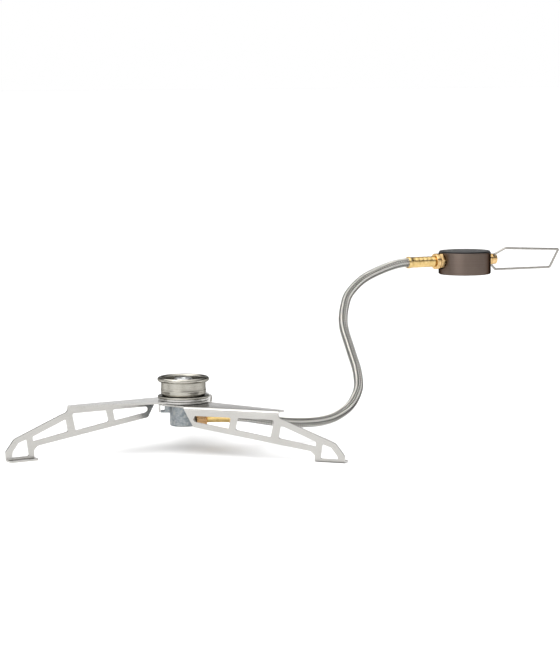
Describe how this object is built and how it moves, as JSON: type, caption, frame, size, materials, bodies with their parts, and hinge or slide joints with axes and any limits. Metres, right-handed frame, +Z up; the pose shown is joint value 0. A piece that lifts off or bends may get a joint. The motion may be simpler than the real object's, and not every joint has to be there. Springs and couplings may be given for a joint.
{
  "type": "remote canister stove stand",
  "caption": "Folding three-leg stand with a threaded stove cup, a braided fuel hose and a ring valve that screws onto a gas canister.",
  "frame": {"origin": "centre of the stove thread's top face, on the hub axis", "axes": "+Z up along the hub axis, +X towards the hose outlet, +Y towards the back"},
  "size_m": [0.3378, 0.2461, 0.104],
  "materials": {
    "cast_hub": "mottled blue-grey zinc casting",
    "leg_steel": "satin pressed stainless sheet",
    "washer_steel": "dark spring steel",
    "cup_steel": "bright drawn steel",
    "post_metal": "bright turned",
    "seal_rubber": "matt",
    "brass_fitting": "bright turned",
    "brass_ferrule": "crimped, slightly dulled",
    "braid": "woven stainless wire",
    "liner": "smooth fuel liner",
    "anodised_ring": "turned, brown-grey anodised",
    "black_cap": "satin black",
    "core_metal": "machined",
    "wire_steel": "drawn stainless wire"
  },
  "bodies": {
    "base": {"hub_casting": "cast_hub", "right_leg": "leg_steel", "lower_washer": "washer_steel", "upper_washer": "washer_steel", "wave_washer": "washer_steel", "retaining_ring": "cup_steel", "stove_cup": "cup_steel", "threaded_post": "post_metal", "post_seal": "seal_rubber", "hub_nut": "brass_fitting", "hub_barb": "brass_fitting", "hub_ferrule": "brass_ferrule", "hose_braid": "braid", "hose_liner": "liner", "coupler_ferrule": "brass_ferrule", "coupler_barb": "brass_fitting", "coupler_collar": "brass_fitting", "coupler_nut": "brass_fitting", "coupler_body": "anodised_ring", "coupler_cap": "black_cap", "coupler_core": "core_metal", "coupler_seal": "seal_rubber", "depressor_pin": "wire_steel", "gland_bush": "brass_fitting"},
    "left_leg": {"left_leg": "leg_steel"},
    "rear_leg": {"rear_leg": "leg_steel"},
    "stem": {"valve_stem": "brass_fitting", "stem_seal": "seal_rubber"},
    "handle": {"wire_handle": "wire_steel"}
  },
  "joints": [
    {"name": "left_leg_swivel", "type": "hinge", "parent": "base", "child": "left_leg", "pos_m": [0, 0, -0.0135], "axis": [0, 0, 1], "range_deg": [0, 116]},
    {"name": "rear_leg_swivel", "type": "hinge", "parent": "left_leg", "child": "rear_leg", "pos_m": [0, 0, -0.0121], "axis": [0, 0, 1], "range_deg": [0, 99]},
    {"name": "valve_turn", "type": "hinge", "parent": "base", "child": "stem", "pos_m": [0.1743, 0.158, 0.0542], "axis": [0.9063, 0.4226, 0], "range_deg": [0, 720]},
    {"name": "handle_fold", "type": "hinge", "parent": "stem", "child": "handle", "pos_m": [0.19279, 0.16662, 0.0542], "axis": [0.2773, -0.5946, 0.7547], "range_deg": [-90, 90]}
  ]
}
